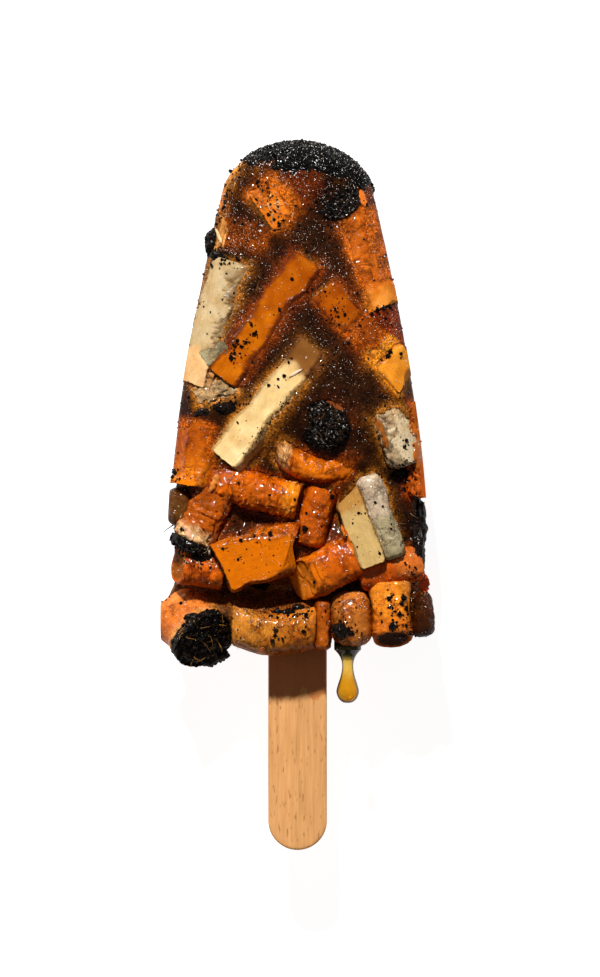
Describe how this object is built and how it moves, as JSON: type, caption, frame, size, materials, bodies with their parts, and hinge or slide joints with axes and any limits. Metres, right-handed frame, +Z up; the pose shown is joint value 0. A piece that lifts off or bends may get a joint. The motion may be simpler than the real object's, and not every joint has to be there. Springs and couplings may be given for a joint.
{
  "type": "ice pop",
  "caption": "Moulded ice pop on a flat wooden stick: dark frozen liquid packed with crushed cigarette butts, with an ash-covered tip and a hanging drip, lying on its back.",
  "frame": {"origin": "middle of the outline on the flat back that it lies on", "axes": "+Y runs along the pop from the stick to the tip, +Z is up, out of the shown front face"},
  "size_m": [0.0466, 0.1209, 0.0233],
  "materials": {
    "cork_paper": "wet cork-patterned filter paper, glossy where ice coats it",
    "cream_paper": "stained cream paper, matt and flat where the mould pressed it",
    "grey_paper": "sooty grey paper, wet",
    "wet_brown_paper": "soaked brown paper, glossy",
    "burnt_end": "crumbly char",
    "dark_ice": "glossy dark red-brown ice with frost specks",
    "ash": "black granular ash with frost specks",
    "beech": "plain sanded wood with short dark flecks",
    "amber_melt": "clear amber liquid, very glossy"
  },
  "bodies": {
    "root": {"butt_bright": "cork_paper", "butt_long_diagonal": "cork_paper", "butt_short_diagonal": "cork_paper", "butt_middle_burnt": "cork_paper", "butt_tip_burnt": "cork_paper", "butt_corner_burnt": "cork_paper", "butt_tip_crushed": "cork_paper", "butt_middle_left": "cork_paper", "butt_lower_middle": "cork_paper", "butt_middle_small": "cork_paper", "butt_bent": "cork_paper", "butt_left_frayed": "cork_paper", "butt_left_wrinkled": "cork_paper", "butt_right_upper": "cork_paper", "butt_right_edge": "cork_paper", "butt_under_stubs": "cork_paper", "butt_bottom_cut": "cork_paper", "butt_bottom_wide": "cork_paper", "butt_bottom_bulge": "cork_paper", "butt_bottom_thin": "cork_paper", "butt_left_cut": "cork_paper", "butt_edge_strip": "cork_paper", "butt_rim_frayed": "cork_paper", "butt_back_1": "cork_paper", "butt_back_2": "cork_paper", "butt_back_4": "cork_paper", "butt_back_5": "cork_paper", "butt_back_7": "cork_paper", "butt_back_9": "cork_paper", "butt_back_10": "cork_paper", "butt_back_11": "cork_paper", "butt_back_13": "cork_paper", "butt_back_14": "cork_paper", "butt_cream_long": "cream_paper", "butt_cream_stub": "cream_paper", "butt_grey_wrinkled": "cream_paper", "butt_rim_paper": "cream_paper", "butt_back_3": "cream_paper", "butt_back_8": "cream_paper", "butt_back_12": "cream_paper", "butt_grey_scrap": "grey_paper", "butt_grey_stub": "grey_paper", "butt_silver_crumpled": "grey_paper", "butt_grey_crumple": "grey_paper", "butt_back_6": "grey_paper", "butt_back_15": "grey_paper", "butt_bottom_edge": "wet_brown_paper", "butt_left_lump": "wet_brown_paper", "butt_middle_burnt_ember": "burnt_end", "butt_tip_burnt_ember": "burnt_end", "butt_corner_burnt_ember": "burnt_end", "butt_left_wrinkled_ember": "burnt_end", "ice": "dark_ice", "ash_tip": "ash", "stick": "beech", "drip": "amber_melt"}
  },
  "joints": []
}
